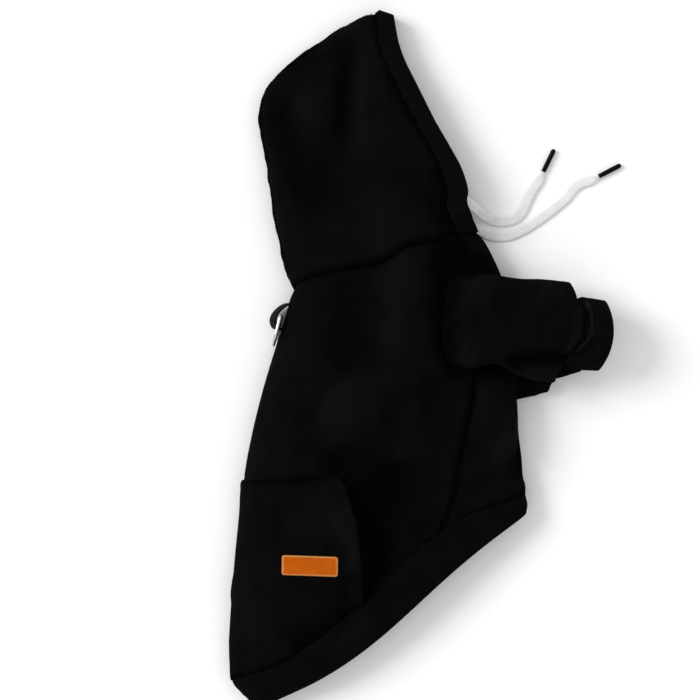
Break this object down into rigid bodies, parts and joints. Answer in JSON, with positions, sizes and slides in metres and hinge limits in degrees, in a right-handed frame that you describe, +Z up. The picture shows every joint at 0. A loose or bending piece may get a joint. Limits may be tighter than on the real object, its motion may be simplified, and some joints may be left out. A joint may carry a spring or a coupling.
{
  "type": "dog hoodie",
  "caption": "Black fleece dog hoodie lying on its side, with a hood and drawstring, short cuffed sleeves, a back pocket with a leather patch, and a leash ring at the nape",
  "frame": {"origin": "middle of the underside of the garment without its drawstring, on the surface that it lies on", "axes": "+Y from the tail hem to the hood's peak, +X from the back to the sleeves, +Z up, out of the dog's right side"},
  "size_m": [0.3474, 0.6136, 0.0579],
  "materials": {
    "fleece": "matte brushed fleece",
    "rib_knit": "matte rib knit",
    "leather": "smooth tan-orange leather",
    "webbing": "woven webbing",
    "metal": "polished",
    "cord_cotton": "braided cotton",
    "plastic": "smooth"
  },
  "bodies": {
    "garment": {"back_panel": "fleece", "belly_panel": "fleece", "hood_panel_right": "fleece", "hood_panel_left": "fleece", "face_casing_right": "fleece", "face_casing_left": "fleece", "sleeve_right": "fleece", "sleeve_left": "fleece", "cuff_right": "rib_knit", "cuff_left": "rib_knit", "hem_band": "fleece", "back_pocket": "fleece", "pocket_patch": "leather", "leash_tab": "webbing", "drawstring_right": "cord_cotton", "drawstring_left": "cord_cotton", "aglet_right": "plastic", "aglet_left": "plastic"},
    "leash_ring": {"leash_ring": "metal"}
  },
  "joints": [
    {"name": "ring_swing", "type": "hinge", "parent": "garment", "child": "leash_ring", "pos_m": [-0.12173, 0.03813, 0.0132], "axis": [0, 0, 1], "range_deg": [-150, 0]}
  ]
}
